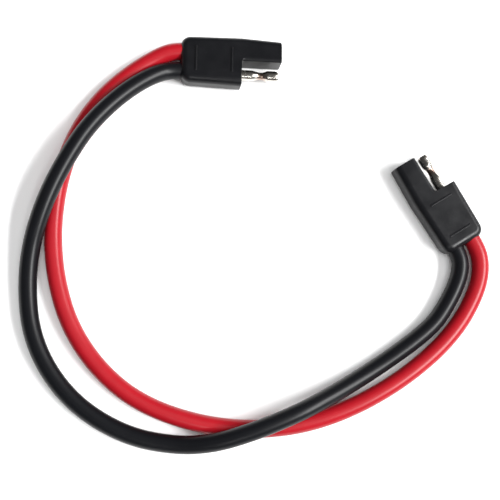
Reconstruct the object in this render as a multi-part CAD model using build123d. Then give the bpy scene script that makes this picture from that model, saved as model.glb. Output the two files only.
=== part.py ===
"""Short two-conductor jumper lead with a moulded two-pin polarised connector on each end.

Frame: the lead lies on z = 0, and the origin is under the middle of the two connectors.
A connector is drawn in its own frame: x runs from the cable end (0) to the mouth, the shrouded
socket is on +y, the bare bullet on -y, and the underside is z = 0.
"""
import os
from math import pi, radians, tan

from build123d import *

# Overmould, mm
BODY_LENGTH = 24.6  # cable end to shoulder
SHROUD_LENGTH = 16.4  # shoulder to mouth
THICKNESS = 9.5
TERMINAL_PITCH = 9.4  # bullet axis to socket axis
SIDE_WALL = 5.45  # terminal axis to the side face, at the shoulder
SHROUD_INNER_WALL = 4.75  # socket axis to the face beside the bullet
BODY_TAPER = 0.65  # each side face draws in by this much at the cable end
SHROUD_TAPER = 0.8  # the shroud's outer face draws in by this much at the mouth
CORNER_RADIUS = 3.9  # corners of the cable end, seen from above
EDGE_RADIUS = 2.8
INNER_EDGE_RADIUS = 1.5
GAP_CORNER = 0.9  # where the shroud rises from the shoulder
MOUTH_EDGE = 0.4
GRIP_RIB_LENGTH = 10.4
GRIP_RIB_WIDTH = 0.9
GRIP_RIB_HEIGHT = 0.3
GRIP_RIB_ROUNDING = 0.24
GRIP_RIB_FROM_CABLE = 6.0
GRIP_RIB_FROM_SHOULDER = 4.1

# Contacts
BULLET_RADIUS = 2.285  # widest, on the head: a 0.180 in bullet
BULLET_LENGTH = 15.4  # beyond the shoulder
SHANK_RADIUS = 2.15
TIP_RADIUS = 1.9  # of the flat end
TIP_LENGTH = 1.6  # the head's rounding down to the flat end
WAIST_RADIUS = 1.45  # the latching waist
WAIST_FROM_TIP = 6.9
WAIST_LENGTH = 0.6
WAIST_TO_HEAD = 2.9
WAIST_TO_SHANK = 3.8
SOCKET_CLEARANCE = 0.015  # radial, between a mating bullet and the sleeve
SLEEVE_WALL = 0.45
SLEEVE_RECESS = 1.0  # mouth of the shroud to the sleeve
SLEEVE_FLOOR = 1.2
COLLAR_RADIUS = 2.9
COLLAR_WIDTH = 0.9
CRIMP_WALL = 0.4
CRIMP_LENGTH = 6.0
GRIP_LENGTH = 3.4  # the part of the crimp that holds the insulation
CRIMP_NECK = 2.2  # crimp to collar
COLLAR_FROM_SHOULDER = 3.6

# Inner mould that holds the two crimped contacts before the overmould is shot
INNER_WALL = 0.55
INNER_SIDE_WALL = 0.8
INNER_MOULD_AHEAD = 1.0  # collar to the front face
INNER_MOULD_BEHIND = 0.8  # crimp to the rear face
INNER_MOULD_CORNER = 1.2

# Cable: stranded conductor, inner insulation and coloured sheath
SHEATH_RADIUS = 3.5
INSULATION_RADIUS = 2.4
CONDUCTOR_RADIUS = 1.6
CABLE_WEB = 1.2  # overmould between the two cables where they go in
SHEATH_STEP = 1.6  # sheath's end to the inner mould's rear face
ROUTE_INSET = 2.5  # a cable's route starts this far inside the overmould
ARC_SHARE = 0.45  # of the shorter run beside a corner

# Where each connector lies: the middle of its cable end, and the heading of its mouth
PLACE_A = (-61.8, 33.5, -0.5)
PLACE_B = (54.8, -39.6, 121.4)
FIRST_RUN_A = 3.5  # cable's straight stretch outside the overmould
FIRST_RUN_B_BLACK = 3.0
FIRST_RUN_B_RED = 3.5

AXIS_HEIGHT = THICKNESS / 2
CABLE_PITCH = 2 * SHEATH_RADIUS + CABLE_WEB
SOCKET_SIDE = 1
BULLET_SIDE = -1
MOST_ROUNDING = 0.45  # of the thickness, so that a flat band stays on each side
TOLERANCE = 0.01  # for picking edges by where they lie
SOCKET_RADIUS = BULLET_RADIUS + SOCKET_CLEARANCE
SLEEVE_RADIUS = SOCKET_RADIUS + SLEEVE_WALL
CRIMP_RADIUS = CONDUCTOR_RADIUS + CRIMP_WALL
GRIP_RADIUS = INSULATION_RADIUS + CRIMP_WALL

# Stations along a connector, counted back from the shoulder
MOUTH_X = BODY_LENGTH + SHROUD_LENGTH
COLLAR_X = BODY_LENGTH - COLLAR_FROM_SHOULDER
CRIMP_END_X = COLLAR_X - CRIMP_NECK
CRIMP_X = CRIMP_END_X - CRIMP_LENGTH
GRIP_X = CRIMP_X - GRIP_LENGTH
INNER_MOULD_X = GRIP_X - INNER_MOULD_BEHIND
SHEATH_X = INNER_MOULD_X - SHEATH_STEP
STRIP_GAP = 0.3  # ends of the insulation and the conductor, short of the steps they face

# Each free cable's route between its two exits, chosen to lie as a loose open loop.
# The black cable rides over the red one twice. z is in mm above the table.
BLACK_ROUTE = [
    (-72.2, 26.6, 6.9),
    (-80.8, 20.8, 8.2),
    (-89.6, 12.8, 9.0),
    (-98.0, 2.6, 10.4),
    (-104.4, -8.2, 10.8),
    (-110.2, -20.0, 10.8),
    (-115.0, -32.5, 9.1),
    (-118.4, -45.5, 5.2),
    (-119.2, -60.0, 3.5),
    (-117.0, -77.0, 3.5),
    (-109.6, -92.6, 3.5),
    (-97.2, -106.0, 3.5),
    (-79.5, -115.8, 3.5),
    (-61.0, -119.2, 4.6),
    (-47.5, -118.2, 8.9),
    (-35.0, -114.6, 10.9),
    (-23.5, -110.3, 10.9),
    (-12.0, -105.4, 10.1),
    (1.0, -98.9, 6.2),
    (16.0, -90.2, 3.5),
    (31.0, -80.2, 3.5),
    (41.5, -71.8, 3.5),
    (46.8, -64.2, 3.5),
    (50.6, -57.2, 3.8),
    (52.9, -50.6, 4.4),
]
RED_ROUTE = [
    (-73.2, 33.6, 3.8),
    (-82.6, 26.9, 3.5),
    (-92.4, 17.5, 3.5),
    (-100.8, 5.0, 3.5),
    (-106.2, -8.5, 3.5),
    (-109.4, -23.0, 3.5),
    (-110.4, -40.0, 3.5),
    (-108.2, -57.5, 3.5),
    (-102.4, -75.0, 3.5),
    (-91.5, -90.6, 3.5),
    (-77.0, -102.5, 3.5),
    (-58.0, -110.0, 3.5),
    (-37.0, -113.5, 3.5),
    (-15.2, -112.2, 3.5),
    (4.8, -106.2, 3.5),
    (24.6, -95.9, 3.5),
    (41.0, -83.6, 3.5),
    (51.4, -72.6, 3.5),
    (57.6, -62.6, 3.5),
    (61.0, -54.2, 3.9),
    (61.7, -46.6, 4.5),
]


def contact_y(side):
    """Sideways place of a contact's axis."""
    return side * TERMINAL_PITCH / 2


def cable_y(side):
    """Sideways place of a cable's axis inside the overmould."""
    return side * CABLE_PITCH / 2


def rod(x, y, radius, length):
    """Cylinder along +x that starts at x."""
    plane = Plane(origin=(x, y, AXIS_HEIGHT), x_dir=(0, 1, 0), z_dir=(1, 0, 0))
    return extrude(plane * Circle(radius), length)


def smooth_step(x_from, radius_from, x_to, radius_to):
    """S-shaped line of an outline, level at both ends."""
    level = (1, 0)
    return Spline((x_from, radius_from), (x_to, radius_to), tangents=(level, level))


def edge_radius(wanted):
    """A rounding, kept within the wall it is cut from."""
    return min(wanted, MOST_ROUNDING * THICKNESS)


# Connector pieces


def body_block():
    """The overmould's body, cable end to shoulder, rounded on every edge but the shoulder's."""
    half = TERMINAL_PITCH / 2 + SIDE_WALL
    narrow = half - BODY_TAPER
    outline = make_face(
        Polyline((0, -narrow), (BODY_LENGTH, -half), (BODY_LENGTH, half), (0, narrow), close=True)
    )
    corners = outline.vertices().group_by(Axis.X)[0]
    block = extrude(fillet(corners, CORNER_RADIUS), THICKNESS)
    rims = [
        edge
        for edge in block.edges().filter_by(Plane.XY)
        if edge.center().X < BODY_LENGTH - TOLERANCE
    ]
    return fillet(rims, edge_radius(EDGE_RADIUS))


def shroud_block():
    """The finger of the overmould round the socket, from inside the body to the mouth."""
    outer = TERMINAL_PITCH / 2 + SIDE_WALL
    inner = TERMINAL_PITCH / 2 - SHROUD_INNER_WALL
    outline = make_face(
        Polyline(
            (BODY_LENGTH, inner),
            (MOUTH_X, inner),
            (MOUTH_X, outer - SHROUD_TAPER),
            (BODY_LENGTH, outer),
            close=True,
        )
    )
    block = extrude(outline, THICKNESS)
    rims = block.edges().filter_by(Plane.XY).group_by(Axis.Y)
    block = fillet(rims[-1], edge_radius(EDGE_RADIUS))
    rims = block.edges().filter_by(Plane.XY).group_by(Axis.Y)
    block = fillet(rims[0], edge_radius(INNER_EDGE_RADIUS))
    mouth = block.faces().sort_by(Axis.X)[-1]
    return fillet(mouth.outer_wire().edges(), MOUTH_EDGE)


def gap_corner(shape):
    """Round the inside corner between the shoulder and the shroud's inner face."""
    inner = TERMINAL_PITCH / 2 - SHROUD_INNER_WALL
    corner = [
        edge
        for edge in shape.edges()
        if abs(edge.center().X - BODY_LENGTH) < TOLERANCE
        and abs(edge.center().Y - inner) < TOLERANCE
    ]
    return fillet(corner, GAP_CORNER)


def grip_rib(x):
    """A low bar across the top face."""
    bar = Pos(x, 0, THICKNESS) * Box(GRIP_RIB_WIDTH, GRIP_RIB_LENGTH, 2 * GRIP_RIB_HEIGHT)
    upper = bar.edges().group_by(Axis.Z)[-1]
    return fillet(upper, GRIP_RIB_ROUNDING)


def crimp(side):
    """Crimp barrel and insulation grip at the rear of a contact, on the cable's axis."""
    y = cable_y(side)
    barrel = rod(CRIMP_X, y, CRIMP_RADIUS, CRIMP_LENGTH)
    web = rod(CRIMP_X, y, GRIP_RADIUS, CRIMP_WALL)
    grip = rod(GRIP_X, y, GRIP_RADIUS, GRIP_LENGTH)
    shape = barrel + web + grip
    shape -= rod(GRIP_X, y, CONDUCTOR_RADIUS, GRIP_LENGTH + CRIMP_LENGTH)
    return shape - rod(GRIP_X, y, INSULATION_RADIUS, GRIP_LENGTH)


def crimp_neck(side, radius):
    """The stepped neck that joins the crimp, on the cable's axis, to the contact's own axis."""
    rear = Plane(origin=(CRIMP_END_X, cable_y(side), AXIS_HEIGHT), x_dir=(0, 1, 0), z_dir=(1, 0, 0))
    front = Plane(origin=(COLLAR_X, contact_y(side), AXIS_HEIGHT), x_dir=(0, 1, 0), z_dir=(1, 0, 0))
    return loft([rear * Circle(CRIMP_RADIUS), front * Circle(radius)])


def bullet_outline():
    """Half outline of the bullet and its collar, as (x, radius), from the axis out and back."""
    tip = BODY_LENGTH + BULLET_LENGTH
    waist_end = tip - WAIST_FROM_TIP
    waist_start = waist_end - WAIST_LENGTH
    head = waist_end + WAIST_TO_HEAD
    shank = waist_start - WAIST_TO_SHANK
    collar_end = COLLAR_X + COLLAR_WIDTH
    nose = (tip - TIP_LENGTH, BULLET_RADIUS)
    return [
        Polyline(
            (COLLAR_X, 0),
            (COLLAR_X, COLLAR_RADIUS),
            (collar_end, COLLAR_RADIUS),
            (collar_end, SHANK_RADIUS),
            (shank, SHANK_RADIUS),
        ),
        smooth_step(shank, SHANK_RADIUS, waist_start, WAIST_RADIUS),
        Line((waist_start, WAIST_RADIUS), (waist_end, WAIST_RADIUS)),
        smooth_step(waist_end, WAIST_RADIUS, head, BULLET_RADIUS),
        Line((head, BULLET_RADIUS), nose),
        TangentArc(nose, (tip, TIP_RADIUS), tangent=(1, 0)),
        Polyline((tip, TIP_RADIUS), (tip, 0), (COLLAR_X, 0)),
    ]


def bullet_contact():
    """Bullet with its latching waist, collar and crimp."""
    half = make_face(Wire(Curve() + bullet_outline()).edges())
    front = revolve(half, Axis.X)
    front = Pos(0, contact_y(BULLET_SIDE), AXIS_HEIGHT) * front
    return front + crimp_neck(BULLET_SIDE, SHANK_RADIUS) + crimp(BULLET_SIDE)


def socket_contact():
    """Sleeve that a bullet slides into, with its floor, neck and crimp."""
    y = contact_y(SOCKET_SIDE)
    length = MOUTH_X - SLEEVE_RECESS - COLLAR_X
    sleeve = rod(COLLAR_X, y, SLEEVE_RADIUS, length)
    bore = rod(COLLAR_X + SLEEVE_FLOOR, y, SOCKET_RADIUS, length)
    return (sleeve - bore) + crimp_neck(SOCKET_SIDE, SLEEVE_RADIUS) + crimp(SOCKET_SIDE)


def cable_stub(side, layer_radius, start, end):
    """The straight stretch of one cable layer inside the mould, used to cut room for it."""
    return rod(start, cable_y(side), layer_radius, end - start)


def sealed_core():
    """Everything that the inner mould closes over, filled solid, for cutting its cavity."""
    room = []
    for side in (BULLET_SIDE, SOCKET_SIDE):
        room.append(cable_stub(side, CRIMP_RADIUS, CRIMP_X, CRIMP_END_X))
        room.append(cable_stub(side, GRIP_RADIUS, GRIP_X, CRIMP_X + CRIMP_WALL))
        room.append(cable_stub(side, INSULATION_RADIUS, SHEATH_X, GRIP_X))
    room.append(crimp_neck(BULLET_SIDE, SHANK_RADIUS))
    room.append(crimp_neck(SOCKET_SIDE, SLEEVE_RADIUS))
    room.append(rod(COLLAR_X, contact_y(BULLET_SIDE), COLLAR_RADIUS, COLLAR_WIDTH))
    room.append(rod(COLLAR_X, contact_y(BULLET_SIDE), SHANK_RADIUS, COLLAR_FROM_SHOULDER))
    room.append(rod(COLLAR_X, contact_y(SOCKET_SIDE), SLEEVE_RADIUS, SHROUD_LENGTH))
    return room


def inner_block():
    """Outer shape of the inner mould."""
    end = COLLAR_X + COLLAR_WIDTH + INNER_MOULD_AHEAD
    length = end - INNER_MOULD_X
    width = TERMINAL_PITCH + 2 * (COLLAR_RADIUS + INNER_SIDE_WALL)
    height = 2 * (COLLAR_RADIUS + INNER_WALL)
    block = Pos(INNER_MOULD_X + length / 2, 0, AXIS_HEIGHT) * Box(length, width, height)
    return fillet(block.edges().filter_by(Axis.X), INNER_MOULD_CORNER)


def inner_mould():
    """Pre-moulded block that holds both contacts at their pitch."""
    block = inner_block()
    for piece in sealed_core():
        block -= piece
    return block


def overmould():
    """Black outer moulding: body, shroud and grip ribs, closed over the inner mould."""
    shape = gap_corner(body_block() + shroud_block())
    shape += grip_rib(GRIP_RIB_FROM_CABLE)
    shape += grip_rib(BODY_LENGTH - GRIP_RIB_FROM_SHOULDER)
    shape -= inner_block()
    shape -= rod(COLLAR_X, contact_y(BULLET_SIDE), SHANK_RADIUS, MOUTH_X)
    shape -= rod(COLLAR_X, contact_y(SOCKET_SIDE), SLEEVE_RADIUS, MOUTH_X)
    for side in (BULLET_SIDE, SOCKET_SIDE):
        shape -= cable_stub(side, SHEATH_RADIUS, -CORNER_RADIUS, SHEATH_X)
        shape -= cable_stub(side, INSULATION_RADIUS, SHEATH_X, INNER_MOULD_X)
    return shape


# Placing


def placing(place):
    """Where a connector lies, as a location."""
    x, y, heading = place
    return Location((x, y, 0), (0, 0, heading))


def on_cable_axis(place, side, x):
    """A point on a cable's axis inside or just outside a connector."""
    return (placing(place) * Location((x, cable_y(side), AXIS_HEIGHT))).position


# Cables


def arc_radii(points):
    """As large an arc at each corner of a route as its two runs allow."""
    radii = []
    for before, corner, after in zip(points, points[1:], points[2:]):
        arrive = corner - before
        leave = after - corner
        shorter = min(arrive.length, leave.length)
        radii.append(ARC_SHARE * shorter / tan(radians(arrive.get_angle(leave)) / 2))
    return radii


def cable_route(side_a, side_b, route, first_run_b):
    """A cable's corners from just inside connector A to just inside connector B."""
    start = [on_cable_axis(PLACE_A, side_a, x) for x in (ROUTE_INSET, -FIRST_RUN_A)]
    end = [on_cable_axis(PLACE_B, side_b, x) for x in (-first_run_b, ROUTE_INSET)]
    return start + [Vector(*point) for point in route] + end


def cable_layer(corners, radii, sides, end_x, outer, inner):
    """One layer of a cable along its route, with straight ends that reach into both moulds."""
    points = list(corners)
    points[0] = on_cable_axis(PLACE_A, sides[0], end_x)
    points[-1] = on_cable_axis(PLACE_B, sides[1], end_x)
    path = FilletPolyline(*points, radius=radii)
    ring = Circle(outer)
    if inner:
        ring -= Circle(inner)
    plane = Plane(origin=path @ 0, z_dir=path % 0)
    tube = sweep(plane * ring, path=path)
    section = pi * (outer**2 - inner**2)
    print(f"  volume over section times length: {tube.volume / (section * path.length):.5f}")
    return tube


def cable(color, sides, route, first_run_b):
    """Sheath, inner insulation and conductor of one cable, as named pieces."""
    corners = cable_route(sides[0], sides[1], route, first_run_b)
    radii = arc_radii(corners)
    print(color, "bend radii, mm:", " ".join(f"{radius:.0f}" for radius in radii))
    layers = (
        ("sheath", SHEATH_X, SHEATH_RADIUS, INSULATION_RADIUS),
        ("insulation", CRIMP_X - STRIP_GAP, INSULATION_RADIUS, CONDUCTOR_RADIUS),
        ("conductor", CRIMP_END_X - STRIP_GAP, CONDUCTOR_RADIUS, 0),
    )
    return {
        f"{color}_cable_{name}": cable_layer(corners, radii, sides, end_x, outer, inner)
        for name, end_x, outer, inner in layers
    }


def build():
    """Every piece of the lead by its node name."""
    pieces = {}
    connector = {
        "overmould": overmould(),
        "inner_mould": inner_mould(),
        "bullet_contact": bullet_contact(),
        "socket_contact": socket_contact(),
    }
    for letter, place in (("a", PLACE_A), ("b", PLACE_B)):
        for name, shape in connector.items():
            pieces[f"connector_{letter}_{name}"] = placing(place) * shape
    pieces |= cable("red", (SOCKET_SIDE, BULLET_SIDE), RED_ROUTE, FIRST_RUN_B_RED)
    pieces |= cable("black", (BULLET_SIDE, SOCKET_SIDE), BLACK_ROUTE, FIRST_RUN_B_BLACK)
    return pieces


os.makedirs("parts", exist_ok=True)
for node, solid in build().items():
    export_step(solid, f"parts/{node}.step")
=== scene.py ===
"""Short red and black lead with a moulded two-pin connector on each end."""

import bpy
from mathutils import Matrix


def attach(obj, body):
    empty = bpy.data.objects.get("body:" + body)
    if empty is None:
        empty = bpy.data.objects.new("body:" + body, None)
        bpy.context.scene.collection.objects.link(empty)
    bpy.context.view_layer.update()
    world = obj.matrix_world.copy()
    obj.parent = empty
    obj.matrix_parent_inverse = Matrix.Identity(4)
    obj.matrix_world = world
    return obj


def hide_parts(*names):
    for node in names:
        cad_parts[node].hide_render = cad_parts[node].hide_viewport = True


bl_info = {
    "name": "Two-Pin Solar Lead",
    "version": (1, 0, 0),
    "blender": (4, 5, 0),
    "location": "View3D > Sidebar > Solar Lead",
    "description": "Builds a short red and black lead with its connectors and stage",
    "category": "Object",
}

from math import cos, pi, radians, sin

import bmesh
import bpy
from mathutils import Vector

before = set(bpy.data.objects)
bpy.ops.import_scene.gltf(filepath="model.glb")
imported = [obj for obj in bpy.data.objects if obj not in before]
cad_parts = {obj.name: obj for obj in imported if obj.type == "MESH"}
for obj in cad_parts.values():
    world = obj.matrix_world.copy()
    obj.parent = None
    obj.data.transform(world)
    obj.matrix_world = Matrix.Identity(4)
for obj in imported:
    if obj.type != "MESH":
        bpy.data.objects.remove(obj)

LIGHT_DISTANCE = 2.0
LIGHT_AIM = (-0.03, -0.04, 0.0)
FLOOR_DROP = 0.00005  # keeps the floor just clear of what lies on it
CONNECTORS = ("a", "b")

# Where each connector lies: the middle of its cable end, in metres, and the heading of its mouth
PLACES = {"a": (-0.0618, 0.0335, -0.5), "b": (0.0548, -0.0396, 121.4)}

# Routes of the two cables, in metres, from just inside connector a to just inside connector b
BLACK_ROUTE = [
    (-0.059336, 0.029378, 0.00475),
    (-0.065336, 0.029431, 0.00475),
    (-0.0722, 0.0266, 0.0069),
    (-0.0808, 0.0208, 0.0082),
    (-0.0896, 0.0128, 0.0090),
    (-0.0980, 0.0026, 0.0104),
    (-0.1044, -0.0082, 0.0108),
    (-0.1102, -0.0200, 0.0108),
    (-0.1150, -0.0325, 0.0091),
    (-0.1184, -0.0455, 0.0052),
    (-0.1192, -0.0600, 0.0035),
    (-0.1170, -0.0770, 0.0035),
    (-0.1096, -0.0926, 0.0035),
    (-0.0972, -0.1060, 0.0035),
    (-0.0795, -0.1158, 0.0035),
    (-0.0610, -0.1192, 0.0046),
    (-0.0475, -0.1182, 0.0089),
    (-0.0350, -0.1146, 0.0109),
    (-0.0235, -0.1103, 0.0109),
    (-0.0120, -0.1054, 0.0101),
    (0.0010, -0.0989, 0.0062),
    (0.0160, -0.0902, 0.0035),
    (0.0310, -0.0802, 0.0035),
    (0.0415, -0.0718, 0.0035),
    (0.0468, -0.0642, 0.0035),
    (0.0506, -0.0572, 0.0038),
    (0.0529, -0.0506, 0.0044),
    (0.052863, -0.044297, 0.00475),
    (0.049998, -0.039602, 0.00475),
]
RED_ROUTE = [
    (-0.059264, 0.037578, 0.00475),
    (-0.065264, 0.037630, 0.00475),
    (-0.0732, 0.0336, 0.0038),
    (-0.0826, 0.0269, 0.0035),
    (-0.0924, 0.0175, 0.0035),
    (-0.1008, 0.0050, 0.0035),
    (-0.1062, -0.0085, 0.0035),
    (-0.1094, -0.0230, 0.0035),
    (-0.1104, -0.0400, 0.0035),
    (-0.1082, -0.0575, 0.0035),
    (-0.1024, -0.0750, 0.0035),
    (-0.0915, -0.0906, 0.0035),
    (-0.0770, -0.1025, 0.0035),
    (-0.0580, -0.1100, 0.0035),
    (-0.0370, -0.1135, 0.0035),
    (-0.0152, -0.1122, 0.0035),
    (0.0048, -0.1062, 0.0035),
    (0.0246, -0.0959, 0.0035),
    (0.0410, -0.0836, 0.0035),
    (0.0514, -0.0726, 0.0035),
    (0.0576, -0.0626, 0.0035),
    (0.0610, -0.0542, 0.0039),
    (0.0617, -0.0466, 0.0045),
    (0.060123, -0.040451, 0.00475),
    (0.056997, -0.035330, 0.00475),
]
LAYERS = ("sheath", "insulation", "conductor")
SHEATH_FINISH = {"red": (0.32, 0.28), "black": (0.36, 0.2)}  # roughness and specular level

# A connector's own sizes, in metres. Its x runs from the cable end to the mouth, and z is up.
BODY_LENGTH = 0.0246
SHROUD_LENGTH = 0.0164
THICKNESS = 0.0095
TERMINAL_PITCH = 0.0094
SIDE_WALL = 0.00545  # terminal axis to the side face, at the shoulder
SHROUD_INNER_WALL = 0.00475  # socket axis to the face beside the bullet
BODY_TAPER = 0.00065
SHROUD_TAPER = 0.0008
CABLE_PITCH = 0.0082
SHEATH_RADIUS = 0.0035
SHEATH_END = 0.007  # cable end to the end of the coloured sheath
SLEEVE_RADIUS = 0.00275
SHANK_RADIUS = 0.00215
INSULATION_RADIUS = 0.0024
INNER_MOULD_X = (0.0086, 0.0229)
INNER_MOULD_WIDTH = 0.0168
INNER_MOULD_HEIGHT = 0.0069
RIB_SIZE = (0.0009, 0.0104, 0.0003)
RIB_ROUNDING = 0.00024
RIB_X = (0.006, 0.0205)
WAIST_X = 0.0328  # the bullet's latching waist
MOUTH_X = BODY_LENGTH + SHROUD_LENGTH
HALF_WIDTH = TERMINAL_PITCH / 2 + SIDE_WALL
CABLE_END_HALF_WIDTH = HALF_WIDTH - BODY_TAPER
SHROUD_FACE = TERMINAL_PITCH / 2 - SHROUD_INNER_WALL
AXIS_HEIGHT = THICKNESS / 2
NEAR = 0.00001  # for picking points by where they lie
PAST_END = 0.002  # how far a cutter stands out of what it cuts
SMOOTH_BELOW = 35.0  # degrees between two faces
RELIEF = 0.00003  # depth of the plastics' grain


# Sizes and colours that a user would change


class StageSettings(bpy.types.PropertyGroup):
    eye: bpy.props.FloatVectorProperty(
        name="Eye",
        description="Where the camera stands",
        default=(-0.07951, -0.10213, 0.36057),
        subtype="TRANSLATION",
        unit="LENGTH",
    )
    tilt: bpy.props.FloatVectorProperty(
        name="Tilt",
        description="How the camera is turned from looking straight down",
        default=(radians(9.28), radians(-7.39), 0.0),
        subtype="EULER",
    )
    lens: bpy.props.FloatProperty(
        name="Lens", description="Focal length", default=66.18, min=10.0, unit="CAMERA"
    )
    floor_tone: bpy.props.FloatVectorProperty(
        name="Floor",
        description="Colour of the table top",
        default=(0.92, 0.92, 0.92),
        subtype="COLOR",
        min=0.0,
        max=1.0,
    )
    floor_side: bpy.props.FloatProperty(
        name="Floor Side", description="Side of the table top", default=14.0, unit="LENGTH"
    )
    key_power: bpy.props.FloatProperty(
        name="Key Light", description="Power of the long light on the right", default=78.0
    )
    front_power: bpy.props.FloatProperty(
        name="Front Light", description="Power of the small light in front", default=5.0
    )
    rim_power: bpy.props.FloatProperty(
        name="Rim Light", description="Power of the small low light on the right", default=5.0
    )
    fill_power: bpy.props.FloatProperty(
        name="Fill Light", description="Power of the broad light, left", default=8.0
    )
    top_power: bpy.props.FloatProperty(
        name="Top Light", description="Power of the broad light overhead", default=20.0
    )
    room_tone: bpy.props.FloatProperty(
        name="Room", description="Brightness of the room's own light", default=0.07, min=0.0
    )


class CableSettings(bpy.types.PropertyGroup):
    diameter: bpy.props.FloatProperty(
        name="Diameter", description="Outside of the sheath", default=0.007, unit="LENGTH"
    )
    smoothness: bpy.props.IntProperty(
        name="Smoothness", description="Steps between two points of the route", default=14, min=2
    )
    roundness: bpy.props.IntProperty(
        name="Roundness", description="Steps round the section", default=12, min=2
    )
    red: bpy.props.FloatVectorProperty(
        name="Red Sheath",
        description="Colour of the positive cable",
        default=(0.31, 0.006, 0.012),
        subtype="COLOR",
        min=0.0,
        max=1.0,
    )
    black: bpy.props.FloatVectorProperty(
        name="Black Sheath",
        description="Colour of the negative cable",
        default=(0.0045, 0.0048, 0.006),
        subtype="COLOR",
        min=0.0,
        max=1.0,
    )


class MouldSettings(bpy.types.PropertyGroup):
    rim: bpy.props.FloatProperty(
        name="Outer Rims", description="Rounding of the long rims", default=0.0028, unit="LENGTH"
    )
    inner_rim: bpy.props.FloatProperty(
        name="Inner Rims",
        description="Rounding of the shroud's rims beside the bullet",
        default=0.0015,
        unit="LENGTH",
    )
    corner: bpy.props.FloatProperty(
        name="Corners", description="Corners of the cable end", default=0.0039, unit="LENGTH"
    )
    gap_corner: bpy.props.FloatProperty(
        name="Gap Corner",
        description="Where the shroud rises from the shoulder",
        default=0.0009,
        unit="LENGTH",
    )
    edge: bpy.props.FloatProperty(
        name="Mould Edges",
        description="Rounding of the edges of the mouth and the shoulder",
        default=0.0004,
        unit="LENGTH",
    )
    smoothness: bpy.props.IntProperty(
        name="Smoothness", description="Steps across a rounded rim", default=8, min=2
    )
    tone: bpy.props.FloatVectorProperty(
        name="Overmould",
        description="Colour of the black outer moulding",
        default=(0.0048, 0.005, 0.006),
        subtype="COLOR",
        min=0.0,
        max=1.0,
    )
    inner_tone: bpy.props.FloatVectorProperty(
        name="Inner Mould",
        description="Colour of the block that holds the contacts",
        default=(0.55, 0.53, 0.48),
        subtype="COLOR",
        min=0.0,
        max=1.0,
    )
    nickel: bpy.props.FloatVectorProperty(
        name="Nickel",
        description="Colour of the contacts' plating",
        default=(0.66, 0.63, 0.58),
        subtype="COLOR",
        min=0.0,
        max=1.0,
    )


# Materials


def new_group(name, inputs, outputs):
    """An empty node group with float or colour sockets, and its two end nodes."""
    group = bpy.data.node_groups.new(name, "ShaderNodeTree")
    for label, kind, default in inputs:
        socket = group.interface.new_socket(name=label, in_out="INPUT", socket_type=kind)
        if default is not None:
            socket.default_value = default
    for label, kind in outputs:
        group.interface.new_socket(name=label, in_out="OUTPUT", socket_type=kind)
    return group, group.nodes.new("NodeGroupInput"), group.nodes.new("NodeGroupOutput")


def add(tree, kind, values=None, **settings):
    """A node with settings on it and values on its inputs."""
    node = tree.nodes.new(kind)
    for key, value in settings.items():
        setattr(node, key, value)
    for key, value in (values or {}).items():
        node.inputs[key].default_value = value
    return node


def link(tree, source, target):
    tree.links.new(source, target)


def moulded_skin_group():
    """Mottling, grain height and gloss variation of a moulded or extruded soft plastic."""
    group, inside, outside = new_group(
        "moulded_skin",
        (
            ("Vector", "NodeSocketVector", None),
            ("Mottle Scale", "NodeSocketFloat", 180.0),
            ("Grain Scale", "NodeSocketFloat", 2600.0),
        ),
        (
            ("Mottle", "NodeSocketFloat"),
            ("Grain", "NodeSocketFloat"),
            ("Dust", "NodeSocketFloat"),
        ),
    )
    mottle = add(group, "ShaderNodeTexNoise", {"Detail": 4.0, "Roughness": 0.55})
    grain = add(group, "ShaderNodeTexNoise", {"Detail": 2.0, "Roughness": 0.6})
    specks = add(group, "ShaderNodeTexNoise", {"Detail": 3.0, "Scale": 900.0})
    dust = add(group, "ShaderNodeMapRange", {"From Min": 0.66, "From Max": 0.78})
    for texture in (mottle, grain, specks):
        link(group, inside.outputs["Vector"], texture.inputs["Vector"])
    link(group, inside.outputs["Mottle Scale"], mottle.inputs["Scale"])
    link(group, inside.outputs["Grain Scale"], grain.inputs["Scale"])
    link(group, specks.outputs["Fac"], dust.inputs["Value"])
    link(group, mottle.outputs["Fac"], outside.inputs["Mottle"])
    link(group, grain.outputs["Fac"], outside.inputs["Grain"])
    link(group, dust.outputs["Result"], outside.inputs["Dust"])
    return group


def skin(tree, group, vector, mottle_scale, grain_scale):
    """The moulded skin group in one material, with that material's own scales."""
    node = tree.nodes.new("ShaderNodeGroup")
    node.node_tree = group
    link(tree, vector, node.inputs["Vector"])
    node.inputs["Mottle Scale"].default_value = mottle_scale
    node.inputs["Grain Scale"].default_value = grain_scale
    return node


def new_material(name):
    """A material with its own tree, its Principled BSDF and a texture coordinate node."""
    material = bpy.data.materials.new(name)
    material.use_nodes = True
    tree = material.node_tree
    return material, tree, tree.nodes["Principled BSDF"], tree.nodes.new("ShaderNodeTexCoord")


def mixed_colour(tree, factor, low, high):
    """A colour that goes from low to high as factor goes from 0 to 1."""
    mix = add(tree, "ShaderNodeMix", data_type="RGBA")
    mix.inputs["A"].default_value = (*low, 1.0)
    mix.inputs["B"].default_value = (*high, 1.0)
    link(tree, factor, mix.inputs["Factor"])
    return mix.outputs["Result"]


def spread(tree, value, low, high):
    """A value of about 0.3 to 0.7 spread over low to high."""
    node = add(
        tree,
        "ShaderNodeMapRange",
        {"From Min": 0.3, "From Max": 0.7, "To Min": low, "To Max": high},
    )
    link(tree, value, node.inputs["Value"])
    return node.outputs["Result"]


def bump(tree, height, strength, distance, target):
    """Fine relief on a shader's normal."""
    node = add(tree, "ShaderNodeBump", {"Strength": strength, "Distance": distance})
    link(tree, height, node.inputs["Height"])
    link(tree, node.outputs["Normal"], target)


def tinted(tone, amount):
    """A tone scaled up or down, kept within range."""
    return tuple(min(1.0, part * amount) for part in tone)


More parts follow.
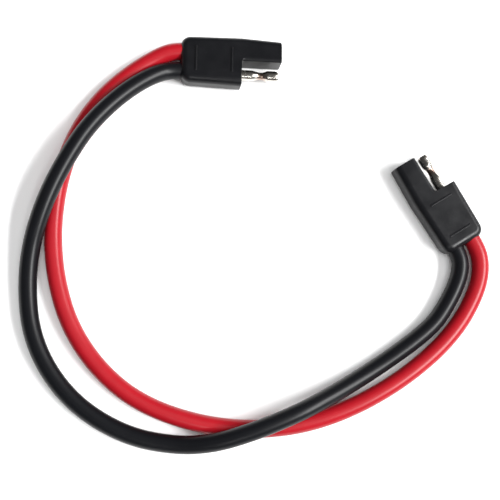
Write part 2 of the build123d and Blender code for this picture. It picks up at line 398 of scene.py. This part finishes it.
def moulded_material(name, tone, group, gloss, mottle_scale=180.0):
    """Soft plastic from a mould: slightly mottled, finely grained, with a few specks of dust."""
    material, tree, shader, place = new_material(name)
    node = skin(tree, group, place.outputs["Object"], mottle_scale, 2600.0)
    base = mixed_colour(tree, node.outputs["Mottle"], tinted(tone, 0.82), tinted(tone, 1.2))
    dusty = add(tree, "ShaderNodeMix", data_type="RGBA")
    dusty.inputs["B"].default_value = (*tinted(tone, 2.2), 1.0)
    link(tree, base, dusty.inputs["A"])
    link(tree, node.outputs["Dust"], dusty.inputs["Factor"])
    link(tree, dusty.outputs["Result"], shader.inputs["Base Color"])
    roughness = spread(tree, node.outputs["Mottle"], gloss - 0.05, gloss + 0.06)
    link(tree, roughness, shader.inputs["Roughness"])
    bump(tree, node.outputs["Grain"], 0.12, RELIEF, shader.inputs["Normal"])
    shader.inputs["Specular IOR Level"].default_value = 0.24
    return material


def sheath_material(name, tone, group, gloss, shine):
    """Extruded sheath: fine drawing marks that follow the cable, and a slight waviness."""
    material, tree, shader, place = new_material(name)
    along = add(tree, "ShaderNodeMapping")
    along.inputs["Scale"].default_value = (6.0, 60.0, 1.0)
    link(tree, place.outputs["UV"], along.inputs["Vector"])
    lines = add(tree, "ShaderNodeTexNoise", {"Scale": 1.0, "Detail": 3.0, "Roughness": 0.6})
    link(tree, along.outputs["Vector"], lines.inputs["Vector"])
    node = skin(tree, group, place.outputs["Object"], 120.0, 1500.0)
    base = mixed_colour(tree, node.outputs["Mottle"], tinted(tone, 0.86), tinted(tone, 1.14))
    link(tree, base, shader.inputs["Base Color"])
    roughness = spread(tree, lines.outputs["Fac"], gloss - 0.04, gloss + 0.05)
    link(tree, roughness, shader.inputs["Roughness"])
    height = add(tree, "ShaderNodeMath", operation="ADD")
    link(tree, lines.outputs["Fac"], height.inputs[0])
    link(tree, node.outputs["Grain"], height.inputs[1])
    bump(tree, height.outputs["Value"], 0.1, RELIEF, shader.inputs["Normal"])
    shader.inputs["Specular IOR Level"].default_value = shine
    return material


def nickel_material(name, tone, letter):
    """Nickel plate on a turned contact: rings round its axis, and a brown tint in the waist."""
    material, tree, shader, place = new_material(name)
    x, y, heading = PLACES[letter]
    own = add(tree, "ShaderNodeMapping", vector_type="TEXTURE")
    own.inputs["Location"].default_value = (x, y, 0.0)
    own.inputs["Rotation"].default_value = (0.0, 0.0, radians(heading))
    link(tree, place.outputs["Object"], own.inputs["Vector"])
    parts = add(tree, "ShaderNodeSeparateXYZ")
    link(tree, own.outputs["Vector"], parts.inputs["Vector"])
    rings = add(
        tree, "ShaderNodeTexNoise", {"Scale": 9000.0, "Detail": 2.0}, noise_dimensions="1D"
    )
    link(tree, parts.outputs["X"], rings.inputs["W"])
    wear = add(tree, "ShaderNodeTexNoise", {"Scale": 700.0, "Detail": 4.0})
    link(tree, own.outputs["Vector"], wear.inputs["Vector"])
    away = add(tree, "ShaderNodeMath", operation="SUBTRACT")
    away.inputs[1].default_value = WAIST_X
    link(tree, parts.outputs["X"], away.inputs[0])
    near = add(tree, "ShaderNodeMath", operation="ABSOLUTE")
    link(tree, away.outputs["Value"], near.inputs[0])
    tint = add(
        tree,
        "ShaderNodeMapRange",
        {"From Min": 0.0004, "From Max": 0.0026, "To Min": 0.75, "To Max": 0.0},
        interpolation_type="SMOOTHSTEP",
    )
    link(tree, near.outputs["Value"], tint.inputs["Value"])
    plate = mixed_colour(tree, wear.outputs["Fac"], tinted(tone, 0.86), tinted(tone, 1.1))
    brown = add(tree, "ShaderNodeMix", data_type="RGBA")
    brown.inputs["B"].default_value = (0.30, 0.17, 0.12, 1.0)
    link(tree, plate, brown.inputs["A"])
    link(tree, tint.outputs["Result"], brown.inputs["Factor"])
    link(tree, brown.outputs["Result"], shader.inputs["Base Color"])
    link(tree, spread(tree, wear.outputs["Fac"], 0.20, 0.28), shader.inputs["Roughness"])
    bump(tree, rings.outputs["Fac"], 0.08, 0.000004, shader.inputs["Normal"])
    shader.inputs["Metallic"].default_value = 1.0
    return material


# Modelling


def deselect():
    bpy.ops.object.select_all(action="DESELECT")


def activate(piece):
    """Select one piece alone and make it the active one."""
    deselect()
    piece.select_set(True)
    bpy.context.view_layer.objects.active = piece


def edit(piece):
    activate(piece)
    bpy.ops.object.mode_set(mode="EDIT")


def leave_edit():
    bpy.ops.object.mode_set(mode="OBJECT")


def pick(piece, kind, test):
    """In edit mode, select the vertices, edges or faces that pass a test, and only those."""
    modes = {"verts": "VERT", "edges": "EDGE", "faces": "FACE"}
    bpy.ops.mesh.select_mode(type=modes[kind])
    bpy.ops.mesh.select_all(action="DESELECT")
    for element in getattr(bmesh.from_edit_mesh(piece.data), kind):
        if test(element):
            element.select_set(True)
    bmesh.update_edit_mesh(piece.data)


def middle(edge):
    return (edge.verts[0].co + edge.verts[1].co) / 2


def upright(edge):
    run = edge.verts[1].co - edge.verts[0].co
    return abs(run.z) > 0.9 * run.length


def apply_modifier(piece, kind, **settings):
    """Add a modifier to a piece and apply it."""
    activate(piece)
    bpy.ops.object.modifier_add(type=kind)
    modifier = piece.modifiers[-1]
    for key, value in settings.items():
        setattr(modifier, key, value)
    bpy.ops.object.modifier_apply(modifier=modifier.name)


def combine(piece, other, operation):
    """Cut another solid from a piece, or join it on, and remove the other solid."""
    apply_modifier(piece, "BOOLEAN", object=other, operation=operation, solver="EXACT")
    activate(other)
    bpy.ops.object.delete()
    activate(piece)


def block(low, high):
    """A rectangular solid from its lowest to its highest corner."""
    deselect()
    size = [top - bottom for bottom, top in zip(low, high)]
    centre = [(top + bottom) / 2 for bottom, top in zip(low, high)]
    bpy.ops.mesh.primitive_cube_add(size=1, location=centre, scale=size)
    bpy.ops.object.transform_apply(location=True, rotation=True, scale=True)
    return bpy.context.object


def rod(start, end, y, radius):
    """A round solid along a connector's length, at the height of its axis."""
    deselect()
    bpy.ops.mesh.primitive_cylinder_add(
        vertices=64,
        radius=radius,
        depth=end - start,
        location=((start + end) / 2, y, AXIS_HEIGHT),
        rotation=(0, pi / 2, 0),
    )
    bpy.ops.object.transform_apply(location=True, rotation=True, scale=True)
    return bpy.context.object


def place_on_lead(piece, letter):
    """Put a piece that was made in a connector's own frame where that connector lies."""
    x, y, heading = PLACES[letter]
    activate(piece)
    piece.location = (x, y, 0)
    piece.rotation_euler = (0, 0, radians(heading))
    bpy.ops.object.transform_apply(location=True, rotation=True, scale=True)


def paint(node, material):
    """Give a carried-over CAD node a finished material."""
    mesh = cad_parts[node].data
    mesh.materials.clear()
    mesh.materials.append(material)


class LEAD_OT_camera(bpy.types.Operator):
    """Place the camera above the lead"""

    bl_idname = "lead.camera"
    bl_label = "Camera"

    def execute(self, context):
        settings = context.scene.lead_stage
        bpy.ops.object.camera_add(location=settings.eye, rotation=settings.tilt)
        camera = context.object
        camera.name = "camera"
        camera.data.lens = settings.lens
        camera.data.clip_start = 0.01
        context.scene.camera = camera
        return {"FINISHED"}


class LEAD_OT_cables(bpy.types.Operator):
    """Lay the red and the black cable along their routes"""

    bl_idname = "lead.cables"
    bl_label = "Cables"

    def execute(self, context):
        settings = context.scene.lead_cables
        group = moulded_skin_group()
        for colour, route in (("red", RED_ROUTE), ("black", BLACK_ROUTE)):
            curve = bpy.data.curves.new(f"{colour}_cable", "CURVE")
            curve.dimensions = "3D"
            spline = curve.splines.new("NURBS")
            spline.points.add(len(route) - 1)
            for point, place in zip(spline.points, route):
                point.co = (*place, 1.0)
            spline.order_u = 3
            spline.use_endpoint_u = True
            spline.resolution_u = settings.smoothness
            curve.bevel_depth = settings.diameter / 2
            curve.bevel_resolution = settings.roundness
            curve.use_fill_caps = True
            cable = bpy.data.objects.new(f"{colour}_cable", curve)
            context.collection.objects.link(cable)
            tone = tuple(getattr(settings, colour))
            gloss, shine = SHEATH_FINISH[colour]
            curve.materials.append(sheath_material(f"{colour}_sheath", tone, group, gloss, shine))
            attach(cable, "root")
            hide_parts(*[f"{colour}_cable_{layer}" for layer in LAYERS])
        return {"FINISHED"}


class LEAD_OT_overmoulds(bpy.types.Operator):
    """Model the black outer moulding once, and set a copy on each end of the lead"""

    bl_idname = "lead.overmoulds"
    bl_label = "Overmoulds"

    def execute(self, context):
        settings = context.scene.lead_moulds
        first = self.outline(settings)
        self.round_rims(first, settings)
        self.round_mould_edges(first, settings)
        self.add_ribs(first)
        self.cut_cavities(first)
        activate(first)
        bpy.ops.object.shade_smooth_by_angle(angle=radians(SMOOTH_BELOW))
        apply_modifier(first, "WEIGHTED_NORMAL", keep_sharp=True)

        group = bpy.data.node_groups["moulded_skin"]
        first.data.materials.append(
            moulded_material("overmould", tuple(settings.tone), group, 0.34)
        )
        second = first.copy()
        second.data = first.data.copy()
        context.collection.objects.link(second)
        for letter, piece in zip(CONNECTORS, (first, second)):
            piece.name = piece.data.name = f"overmould_{letter}"
            place_on_lead(piece, letter)
            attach(piece, "root")
            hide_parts(f"connector_{letter}_overmould")
        return {"FINISHED"}

    def outline(self, settings):
        """Tapered body with the shroud extruded from its shoulder, upright corners rounded."""
        piece = block((0, -HALF_WIDTH, 0), (BODY_LENGTH, HALF_WIDTH, THICKNESS))
        edit(piece)
        pick(piece, "verts", lambda point: point.co.x < NEAR)
        narrowing = CABLE_END_HALF_WIDTH / HALF_WIDTH
        bpy.ops.transform.resize(value=(1, narrowing, 1), center_override=(0, 0, 0))
        bpy.ops.mesh.select_all(action="SELECT")
        bpy.ops.mesh.bisect(plane_co=(0, SHROUD_FACE, 0), plane_no=(0, 1, 0))
        pick(
            piece,
            "faces",
            lambda face: face.normal.x > 0.9 and face.calc_center_median().y > SHROUD_FACE,
        )
        bpy.ops.mesh.extrude_region_move(
            TRANSFORM_OT_translate={"value": (SHROUD_LENGTH, 0, 0)}
        )
        pick(piece, "verts", lambda point: point.co.x > MOUTH_X - NEAR and point.co.y > 0.001)
        bpy.ops.transform.translate(value=(0, -SHROUD_TAPER, 0))
        bpy.ops.mesh.select_all(action="SELECT")
        bpy.ops.mesh.dissolve_limited(angle_limit=radians(0.2))

        cable_end = CABLE_END_HALF_WIDTH - NEAR
        pick(
            piece,
            "edges",
            lambda edge: upright(edge)
            and middle(edge).x < NEAR
            and abs(middle(edge).y) > cable_end,
        )
        bpy.ops.mesh.bevel(offset=settings.corner, segments=10, affect="EDGES")
        pick(
            piece,
            "edges",
            lambda edge: upright(edge)
            and abs(middle(edge).x - BODY_LENGTH) < NEAR
            and abs(middle(edge).y - SHROUD_FACE) < NEAR,
        )
        bpy.ops.mesh.bevel(offset=settings.gap_corner, segments=5, affect="EDGES")
        leave_edit()
        return piece

    def round_rims(self, piece, settings):
        """Round the top and bottom rims, each edge by its own share of the widest rounding."""
        mesh = piece.data
        weights = mesh.attributes.new("bevel_weight_edge", "FLOAT", "EDGE")
        for edge in mesh.edges:
            start, end = (mesh.vertices[index].co for index in edge.vertices)
            if abs(start.z - end.z) < NEAR:
                weights.data[edge.index].value = self.rim(start, end, settings) / settings.rim
        apply_modifier(
            piece,
            "BEVEL",
            limit_method="WEIGHT",
            width=settings.rim,
            segments=settings.smoothness,
            offset_type="OFFSET",
            use_clamp_overlap=False,
        )

    def rim(self, start, end, settings):
        """Rounding of one level edge: none at mouth and shoulder, growing round the gap."""
        centre = (start + end) / 2
        if abs(centre.z - AXIS_HEIGHT) < AXIS_HEIGHT - NEAR:
            return 0.0
        if centre.x > MOUTH_X - NEAR:
            return 0.0
        if centre.x > BODY_LENGTH - NEAR and abs(centre.y - SHROUD_FACE) < NEAR:
            return settings.inner_rim
        if abs(start.x - BODY_LENGTH) < NEAR and abs(end.x - BODY_LENGTH) < NEAR:
            return 0.0
        if centre.x > BODY_LENGTH and centre.y < SHROUD_FACE:
            return settings.inner_rim * (centre.x - BODY_LENGTH) / settings.gap_corner
        return settings.rim

    def round_mould_edges(self, piece, settings):
        """Break the edges round the mouth and the shoulder."""
        gap = SHROUD_FACE - settings.gap_corner
        edit(piece)
        pick(piece, "edges", lambda edge: all(v.co.x > MOUTH_X - NEAR for v in edge.verts))
        bpy.ops.mesh.bevel(offset=settings.edge, segments=3, affect="EDGES")
        pick(
            piece,
            "edges",
            lambda edge: all(abs(v.co.x - BODY_LENGTH) < NEAR for v in edge.verts)
            and middle(edge).y < SHROUD_FACE
            and not (upright(edge) and middle(edge).y > gap - settings.edge),
        )
        bpy.ops.mesh.bevel(offset=settings.edge, segments=3, affect="EDGES")
        leave_edit()

    def add_ribs(self, piece):
        """Two low grip ribs across the top, with rounded backs."""
        width, length, height = RIB_SIZE
        for x in RIB_X:
            rib = block(
                (x - width / 2, -length / 2, THICKNESS - height),
                (x + width / 2, length / 2, THICKNESS + height),
            )
            edit(rib)
            top = THICKNESS + height - NEAR
            pick(rib, "edges", lambda edge: all(v.co.z > top for v in edge.verts))
            bpy.ops.mesh.bevel(offset=RIB_ROUNDING, segments=4, affect="EDGES")
            leave_edit()
            combine(piece, rib, "UNION")

    def cut_cavities(self, piece):
        """Make room for the inner mould, the contacts and the two cables."""
        low, high = INNER_MOULD_X
        half = INNER_MOULD_WIDTH / 2
        rise = INNER_MOULD_HEIGHT / 2
        inner = block(
            (low, -half, AXIS_HEIGHT - rise), (high, half, AXIS_HEIGHT + rise)
        )
        combine(piece, inner, "DIFFERENCE")
        middle_x = (low + high) / 2
        past_mouth = MOUTH_X + 2 * PAST_END
        contact, cable = TERMINAL_PITCH / 2, CABLE_PITCH / 2
        combine(piece, rod(middle_x, past_mouth, contact, SLEEVE_RADIUS), "DIFFERENCE")
        combine(piece, rod(middle_x, past_mouth, -contact, SHANK_RADIUS), "DIFFERENCE")
        for y in (-cable, cable):
            combine(piece, rod(-PAST_END, SHEATH_END, y, SHEATH_RADIUS), "DIFFERENCE")
            # The second cut starts inside the room that the first one made
            combine(piece, rod(PAST_END, middle_x, y, INSULATION_RADIUS), "DIFFERENCE")


class LEAD_OT_inner_moulds(bpy.types.Operator):
    """Finish the blocks that hold the contacts"""

    bl_idname = "lead.inner_moulds"
    bl_label = "Inner Moulds"

    def execute(self, context):
        settings = context.scene.lead_moulds
        group = bpy.data.node_groups["moulded_skin"]
        inner = moulded_material(
            "inner_mould", tuple(settings.inner_tone), group, 0.5, mottle_scale=90.0
        )
        for letter in CONNECTORS:
            paint(f"connector_{letter}_inner_mould", inner)
        return {"FINISHED"}


class LEAD_OT_contacts(bpy.types.Operator):
    """Finish the bullets and the sleeves"""

    bl_idname = "lead.contacts"
    bl_label = "Contacts"

    def execute(self, context):
        settings = context.scene.lead_moulds
        for letter in CONNECTORS:
            material = nickel_material(f"nickel_{letter}", tuple(settings.nickel), letter)
            paint(f"connector_{letter}_bullet_contact", material)
            paint(f"connector_{letter}_socket_contact", material)
        return {"FINISHED"}


class LEAD_OT_stage(bpy.types.Operator):
    """Lay the floor and set the lights"""

    bl_idname = "lead.stage"
    bl_label = "Stage"

    def execute(self, context):
        settings = context.scene.lead_stage
        deselect()
        bpy.ops.mesh.primitive_plane_add(
            size=settings.floor_side, location=(0, 0, -FLOOR_DROP)
        )
        floor = context.object
        floor.name = "floor"
        material, tree, shader, place = new_material("floor")
        tone = tuple(settings.floor_tone)
        cloud = add(tree, "ShaderNodeTexNoise", {"Scale": 14.0, "Detail": 2.0})
        link(tree, place.outputs["Object"], cloud.inputs["Vector"])
        shade = mixed_colour(tree, cloud.outputs["Fac"], tinted(tone, 0.99), tone)
        link(tree, shade, shader.inputs["Base Color"])
        shader.inputs["Roughness"].default_value = 0.9
        shader.inputs["Specular IOR Level"].default_value = 0.1
        floor.data.materials.append(material)

        self.area_light("key", -10.0, 47.0, (1.5, 0.5), settings.key_power)
        self.area_light("front", -90.0, 50.0, (0.35, 0.5), settings.front_power)
        self.area_light("rim", 31.0, 27.0, (0.4, 0.4), settings.rim_power)
        fill = self.area_light("fill", 175.0, 50.0, (1.4, 1.4), settings.fill_power)
        top = self.area_light("top", 0.0, 89.9, (1.6, 1.6), settings.top_power)
        fill.visible_glossy = top.visible_glossy = False

        world = bpy.data.worlds.new("room")
        world.use_nodes = True
        background = world.node_tree.nodes["Background"]
        background.inputs["Color"].default_value = (1.0, 1.0, 1.0, 1.0)
        background.inputs["Strength"].default_value = settings.room_tone
        context.scene.world = world
        context.scene.view_settings.view_transform = "Standard"
        return {"FINISHED"}

    def area_light(self, name, bearing, height, sides, power):
        """A soft light that faces the lead, at a bearing and a height in degrees."""
        turn, rise = radians(bearing), radians(height)
        toward = Vector((cos(turn) * cos(rise), sin(turn) * cos(rise), sin(rise)))
        bpy.ops.object.light_add(
            type="AREA", location=Vector(LIGHT_AIM) + toward * LIGHT_DISTANCE
        )
        light = bpy.context.object
        light.name = name
        light.data.shape = "RECTANGLE"
        light.data.size, light.data.size_y = sides
        light.data.energy = power
        light.rotation_euler = (-toward).to_track_quat("-Z", "Y").to_euler()
        return light


class LEAD_PT_panel(bpy.types.Panel):
    """The lead's pieces, in the order in which they are made"""

    bl_idname = "LEAD_PT_panel"
    bl_label = "Solar Lead"
    bl_space_type = "VIEW_3D"
    bl_region_type = "UI"
    bl_category = "Solar Lead"

    def draw(self, context):
        layout = self.layout
        for group in ("lead_cables", "lead_moulds", "lead_stage"):
            settings = getattr(context.scene, group)
            box = layout.box()
            for name in settings.bl_rna.properties.keys():
                if name not in ("rna_type", "name"):
                    box.prop(settings, name)
        for operator in OPERATORS:
            layout.operator(operator.bl_idname)


SETTINGS = {
    "lead_stage": StageSettings,
    "lead_cables": CableSettings,
    "lead_moulds": MouldSettings,
}
OPERATORS = (
    LEAD_OT_camera,
    LEAD_OT_cables,
    LEAD_OT_overmoulds,
    LEAD_OT_inner_moulds,
    LEAD_OT_contacts,
    LEAD_OT_stage,
)


def register():
    for settings in SETTINGS.values():
        bpy.utils.register_class(settings)
    for name, settings in SETTINGS.items():
        setattr(bpy.types.Scene, name, bpy.props.PointerProperty(type=settings))
    for operator in OPERATORS:
        bpy.utils.register_class(operator)
    bpy.utils.register_class(LEAD_PT_panel)


def unregister():
    bpy.utils.unregister_class(LEAD_PT_panel)
    for operator in reversed(OPERATORS):
        bpy.utils.unregister_class(operator)
    for name in SETTINGS:
        delattr(bpy.types.Scene, name)
    for settings in SETTINGS.values():
        bpy.utils.unregister_class(settings)


def main():
    """Build every piece."""
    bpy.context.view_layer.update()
    register()
    bpy.ops.lead.camera()
    bpy.ops.lead.cables()
    bpy.ops.lead.overmoulds()
    bpy.ops.lead.inner_moulds()
    bpy.ops.lead.contacts()
    bpy.ops.lead.stage()


if __name__ == "__main__":
    main()
